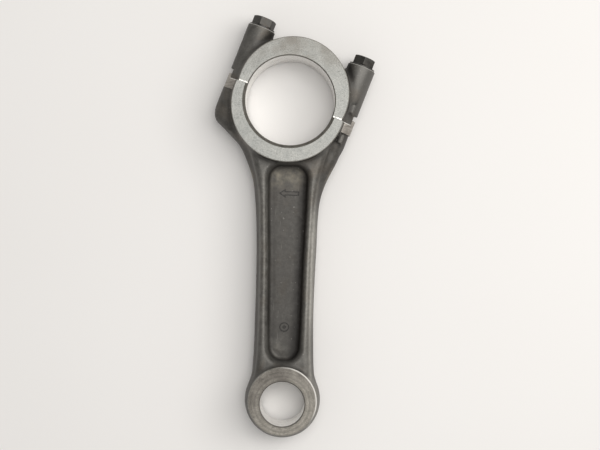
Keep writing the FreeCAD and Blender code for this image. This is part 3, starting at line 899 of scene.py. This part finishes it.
def machined_face(name, dark, light, painted_shade_colour, painted_shade_way, painted_shade_offset, axis, turned):
    """A ground ring face: fine grey speckle under thin oil, painted shade towards one side, raw
    metal where the halves meet.
    """
    finish = Finish(name, metallic=0.25, roughness=0.42)
    clouds = finish.noise(4.0, detail=7.0, roughness=0.7, distortion=0.5)
    base = finish.ramp(clouds, (0.32, dark), (0.68, light))
    # painted shade: the face darker towards one side, uneven in blotches
    painted_shade = finish.maths("ADD", finish.along(painted_shade_way, 30.0), painted_shade_offset)
    painted_shade = finish.ramp(painted_shade, (0.30, 0.0), (0.95, 0.8))
    blotches = finish.ramp(finish.noise(9.0, detail=5.0), (0.40, 0.3), (0.60, 1.0))
    base = finish.mix(finish.times(painted_shade, blotches), base, painted_shade_colour)
    grain = finish.noise(0.5, detail=3.0, roughness=0.75)
    base = finish.mix(0.7, base, finish.ramp(grain, (0.3, 0.2), (0.7, 0.82)), "OVERLAY")
    pits = finish.ramp(finish.noise(0.9, detail=2.0), (0.28, 0.75), (0.34, 0.0))
    base = finish.mix(pits, base, (0.09, 0.085, 0.075))
    rings = finish.rings_about(axis, 0.9)
    base = finish.mix(turned, base, finish.ramp(rings, (0.3, 0.3), (0.7, 0.7)), "OVERLAY")
    scuffs = finish.noise(3.0, detail=4.0, roughness=0.6, distortion=0.6)
    base = finish.mix(finish.ramp(scuffs, (0.62, 0.0), (0.70, 0.45)), base, dark)
    edge = finish.near_split(0.42, 0.30, 0.75)
    finish.colour(finish.mix(edge, base, (0.90, 0.88, 0.84)))
    finish.roughness(clouds, 0.34, 0.50)
    finish.relief((grain, 0.015), (rings, 0.04 * turned))
    return finish.material


def bored_wall(name):
    """Bored and polished by its bearing, with fine rings round the bore."""
    finish = Finish(name, metallic=1.0, roughness=0.28)
    rings = finish.noise(2.0, detail=3.0, stretch=(1.0, 1.0, 14.0))
    base = finish.ramp(rings, (0.3, (0.78, 0.765, 0.74)), (0.7, (0.90, 0.89, 0.87)))
    stain = finish.ramp(finish.noise(7.0, detail=3.0), (0.56, 0.0), (0.72, 0.35))
    finish.colour(finish.mix(stain, base, (0.45, 0.40, 0.34)))
    finish.roughness(rings, 0.22, 0.34)
    finish.relief((rings, 0.006))
    return finish.material


def turned_band(name):
    """The machined band beside the split: warm light grey with cutter marks."""
    finish = Finish(name, metallic=0.4, roughness=0.45)
    lines = finish.noise(3.0, detail=3.0, stretch=(0.4, 8.0, 0.4))
    base = finish.ramp(lines, (0.3, (0.22, 0.20, 0.175)), (0.7, (0.40, 0.375, 0.34)))
    grain = finish.noise(1.2, detail=3.0)
    finish.colour(finish.mix(0.4, base, finish.ramp(grain, (0.3, 0.3), (0.7, 0.7)), "OVERLAY"))
    finish.relief((lines, 0.02))
    return finish.material


def raw_metal(name):
    """Clean cut aluminium on the joint faces, lips and washer seats."""
    finish = Finish(name, metallic=0.6, roughness=0.35)
    swirls = finish.noise(1.8, detail=4.0, distortion=1.2)
    finish.colour(finish.ramp(swirls, (0.3, (0.38, 0.37, 0.35)), (0.7, (0.60, 0.585, 0.56))))
    finish.roughness(swirls, 0.28, 0.45)
    finish.relief((swirls, 0.01))
    return finish.material


def black_steel(name, dark, light, relief_depth):
    """Heat-blackened steel with oil and slight rust."""
    finish = Finish(name, metallic=0.7, roughness=0.4)
    clouds = finish.noise(2.2, detail=5.0, roughness=0.65)
    base = finish.ramp(clouds, (0.3, dark), (0.7, light))
    rust = finish.ramp(finish.noise(3.6, detail=4.0), (0.58, 0.0), (0.72, 0.5))
    finish.colour(finish.mix(rust, base, (0.06, 0.038, 0.025)))
    finish.roughness(clouds, 0.3, 0.52)
    finish.relief((finish.noise(0.5, detail=3.0), relief_depth))
    return finish.material


def floor_finish():
    """Plain pale bench paper."""
    finish = Finish("floor", metallic=0.0, roughness=0.8)
    finish.shader.inputs["Specular IOR Level"].default_value = 0.2
    clouds = finish.noise(240.0, detail=2.0)
    finish.colour(finish.ramp(clouds, (0.3, (0.83, 0.815, 0.80)), (0.7, (0.85, 0.837, 0.825))))
    return finish.material


# ------------------------------------------------ finishing pieces

def paint(piece, skin, *rules):
    """Give every face the skin, then each rule's material where its test holds.

    A test takes the centres and the normals of all faces.
    """
    mesh = piece.data
    mesh.materials.clear()
    mesh.materials.append(skin)
    centres = vectors(mesh.polygons, "center")
    normals = vectors(mesh.polygons, "normal")
    choice = np.zeros(len(centres), dtype=np.int32)
    for material, test in rules:
        mesh.materials.append(material)
        choice[test(centres, normals)] = len(mesh.materials) - 1
    mesh.polygons.foreach_set("material_index", choice)


NEAR = 0.02
FLAT = 0.99


def level(centres, normals, height):
    """Faces of the two flats at this height above and below mid width."""
    return (abs(abs(centres[:, 2]) - height) < NEAR) & (abs(normals[:, 2]) > FLAT)


def in_big_end(centres):
    return big_end_frame(centres[:, 0], centres[:, 1])


def from_pin_bore(centres):
    return np.hypot(centres[:, 0], centres[:, 1] + CENTRE_DISTANCE)


def on_bore(centres, normals):
    radius = np.hypot(centres[:, 0], centres[:, 1])
    return (radius < CRANK_RADIUS + 0.05) & (abs(normals[:, 2]) < 0.1)


def on_pin_bore(centres, normals):
    return (from_pin_bore(centres) < PIN_RADIUS + 0.05) & (abs(normals[:, 2]) < 0.1)


def on_chamfer(centres, normals):
    """The sloping edges of the two bores."""
    sloping = (abs(normals[:, 2]) > 0.5) & (abs(normals[:, 2]) < 0.9)
    crank = np.hypot(centres[:, 0], centres[:, 1]) < CRANK_RADIUS + CRANK_CHAMFER + 0.05
    return sloping & (crank | (from_pin_bore(centres) < PIN_RADIUS + PIN_CHAMFER + 0.05))


def on_band(centres, normals):
    s, t = in_big_end(centres)
    from_screw = np.hypot(abs(s) - SCREW_S, centres[:, 2])
    outside = (abs(s) > 27.5) & (t > -JOINT_BAND - NEAR) & (t < LIP_HEIGHT)
    return outside & (from_screw < BOSS_RADIUS + 0.04)


def along_screw(normals):
    """How far each face looks the way that the screws come out."""
    return normals[:, 0] * math.sin(SPLIT_ANGLE) + normals[:, 1] * math.cos(SPLIT_ANGLE)


def on_joint(centres, normals):
    """The flat joint faces and the lips that stand on them."""
    t = in_big_end(centres)[1]
    flat = (abs(t) < NEAR) | (abs(t - LIP_HEIGHT) < NEAR)
    return flat & (abs(along_screw(normals)) > FLAT)


def on_seat(centres, normals):
    """The faced washer seats."""
    s, t = in_big_end(centres)
    return (abs(t - SEAT_HEIGHT) < NEAR) & (abs(s) > SEAT_INNER) & (along_screw(normals) > FLAT)


def on_cone(reach, edge, below):
    """Whether points lie on a 45 degree chamfer that starts at the edge and opens downwards."""
    near = abs(reach - edge - below) < 0.03
    return near & (below > 0.001) & (below < CHAMFER_REACH + 0.1)


def on_seat_edge(centres, normals):
    """The small chamfer round each washer seat."""
    s, t = in_big_end(centres)
    below = SEAT_HEIGHT - t
    reach = np.hypot(abs(s) - SCREW_S, centres[:, 2])
    found = on_cone(reach, BOSS_RADIUS - SEAT_CHAMFER + 0.1, below)
    return found & (along_screw(normals) > 0.5)


def on_rim(centres, normals):
    """The broken outer edges of the machined rings."""
    s, t = in_big_end(centres)
    from_small = np.hypot(centres[:, 0], centres[:, 1] - SMALL_RING_Y)
    found = np.zeros(len(centres), dtype=bool)
    for reach, radius, face in (
            (np.hypot(s, t - ROD_RING_OFFSET), ROD_RING_RADIUS, BIG_HALF_WIDTH),
            (np.hypot(s, t - CAP_RING_OFFSET), CAP_RING_RADIUS, BIG_HALF_WIDTH),
            (from_small, SMALL_RING_RADIUS, SMALL_HALF_WIDTH)):
        found |= on_cone(reach, radius - RIM_CHAMFER, face - abs(centres[:, 2]))
    return found


def on_mark(centres, normals):
    """The raised lines, the only faces at this height between the pocket walls."""
    x, y, z = centres.T
    inside = (abs(x) < 6) & (y < MARKS_UP_TO) & (y > MARKS_DOWN_TO)
    return inside & (z > WEB_TOP + 0.05) & (z < MARK_TOP + NEAR)


def in_screw_hole(centres, normals):
    """The drilled walls, with the countersink at the split."""
    s, t = in_big_end(centres)
    reach = np.hypot(abs(s) - SCREW_S, centres[:, 2])
    tapped = (reach < TAPPED_RADIUS + 0.05) & (t > -TAPPED_DEPTH - DRILL_POINT - 0.1)
    return tapped | ((reach < HOLE_RADIUS + 0.5) & (t > -1.0))


def finish_mesh(piece, name, crease=28.0):
    """Millimetres to metres, smooth shading with crisp machined edges."""
    piece.name = name
    piece.data.name = name
    piece.data.transform(Matrix.Scale(MM, 4))
    piece.data.shade_smooth()
    piece.data.set_sharp_from_angle(angle=math.radians(crease))


# ------------------------------------------------ build

skin = ForgedSkin("forged_skin").material
ring_face = machined_face(
    "ring_face", dark=(0.21, 0.215, 0.203), light=(0.36, 0.36, 0.338), painted_shade_colour=(0.145, 0.13, 0.108),
    painted_shade_way=(0.10, 0.995, 0.0), painted_shade_offset=0.0, axis=(0.0, 0.0, 0.0), turned=0.12)
pin_face = machined_face(
    "pin_face", dark=(0.16, 0.148, 0.125), light=(0.31, 0.29, 0.255), painted_shade_colour=(0.070, 0.060, 0.050),
    painted_shade_way=(-0.5, 0.866, 0.0), painted_shade_offset=4.70, axis=(0.0, -CENTRE_DISTANCE, 0.0), turned=0.34)
wall = bored_wall("bored_wall")
chamfer = dull_edge("chamfer", (0.075, 0.070, 0.060), (0.15, 0.14, 0.12))
rim = dull_edge("rim", (0.17, 0.16, 0.14), (0.28, 0.27, 0.245))
pin_rim = dull_edge("pin_rim", (0.17, 0.16, 0.14), (0.28, 0.27, 0.245), rim_highlight=0.9)
cast_line = dull_edge("cast_line", (0.008, 0.007, 0.006), (0.018, 0.016, 0.014))
band_finish = turned_band("turned_band")
clean_cut = raw_metal("raw_metal")
screw_finish = black_steel("screw_black", (0.032, 0.030, 0.027), (0.074, 0.071, 0.065), 0.03)
washer_finish = black_steel("washer_black", (0.03, 0.029, 0.028), (0.09, 0.087, 0.08), 0.02)

rod_piece = make_rod()
paint(rod_piece, skin,
      (ring_face, lambda c, n: level(c, n, BIG_HALF_WIDTH)),
      (pin_face, lambda c, n: level(c, n, SMALL_HALF_WIDTH) & (c[:, 1] < SMALL_END_TOP)),
      (band_finish, on_band), (clean_cut, on_joint), (wall, on_bore), (wall, on_pin_bore),
      (chamfer, on_chamfer), (clean_cut, in_screw_hole), (rim, on_rim),
      (pin_rim, lambda c, n: on_rim(c, n) & (c[:, 1] < SMALL_END_TOP)), (cast_line, on_mark))
finish_mesh(rod_piece, "rod_forging")
cap_piece = make_cap()
paint(cap_piece, skin,
      (ring_face, lambda c, n: level(c, n, BIG_HALF_WIDTH)), (clean_cut, on_joint),
      (clean_cut, on_seat), (wall, on_bore), (chamfer, on_chamfer),
      (clean_cut, in_screw_hole), (rim, on_rim), (clean_cut, on_seat_edge))
finish_mesh(cap_piece, "cap_forging")

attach(rod_piece, "rod")
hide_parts("rod_body")
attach(cap_piece, "cap")
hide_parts("rod_cap")

# Each side has its sign along s and the turn of its hexagon.
for side, sign, turn in (("left", -1, math.radians(13)), ("right", 1, math.radians(30))):
    screw = make_screw(side, sign, turn)
    paint(screw, screw_finish)
    finish_mesh(screw, f"hex_screw_{side}", 24.0)
    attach(screw, f"screw_{side}")
    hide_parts(f"cap_screw_{side}")
    washer = make_washer(side, sign)
    paint(washer, washer_finish)
    finish_mesh(washer, f"plain_washer_{side}", 24.0)
    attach(washer, f"screw_{side}")
    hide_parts(f"washer_{side}")


# ------------------------------------------------ stage, light, camera

def make_floor():
    half = 0.8
    gap = 0.00002
    corners = ((-half, -half), (half, -half), (half, half), (-half, half))
    points = [(x, y, -BIG_HALF_WIDTH * MM - gap) for x, y in corners]
    floor = new_object("floor", points, [(0, 1, 2, 3)])
    floor.data.materials.append(floor_finish())


def area_light(name, place, aim, size, watts, colour):
    data = bpy.data.lights.new(name, "AREA")
    data.shape = "SQUARE"
    data.size = size
    data.energy = watts
    data.color = colour
    lamp = bpy.data.objects.new(name, data)
    lamp.location = place
    direction = Vector(aim) - Vector(place)
    lamp.rotation_euler = direction.to_track_quat("-Z", "Y").to_euler()
    bpy.context.scene.collection.objects.link(lamp)


def make_world():
    world = bpy.data.worlds.new("studio")
    world.use_nodes = True
    background = world.node_tree.nodes["Background"]
    background.inputs["Color"].default_value = (1.0, 0.985, 0.965, 1.0)
    background.inputs["Strength"].default_value = 0.42
    bpy.context.scene.world = world


def make_camera():
    data = bpy.data.cameras.new("camera")
    data.sensor_width = 36.0
    data.lens = 78.8
    camera = bpy.data.objects.new("camera", data)
    camera.location = (0.0062, -0.0582, 0.627)
    camera.rotation_euler = (0.0, 0.0, math.radians(1.52))
    bpy.context.scene.collection.objects.link(camera)
    bpy.context.scene.camera = camera


make_floor()
make_world()
area_light("key", (0.46, 0.10, 0.58), (0.0, -0.06, 0.0), 0.46, 2.1, (1.0, 0.98, 0.95))
area_light("overhead", (0.10, 0.06, 0.95), (0.0, -0.06, 0.0), 0.50, 4.0, (1.0, 0.985, 0.96))
make_camera()
bpy.context.scene.view_settings.view_transform = "Standard"
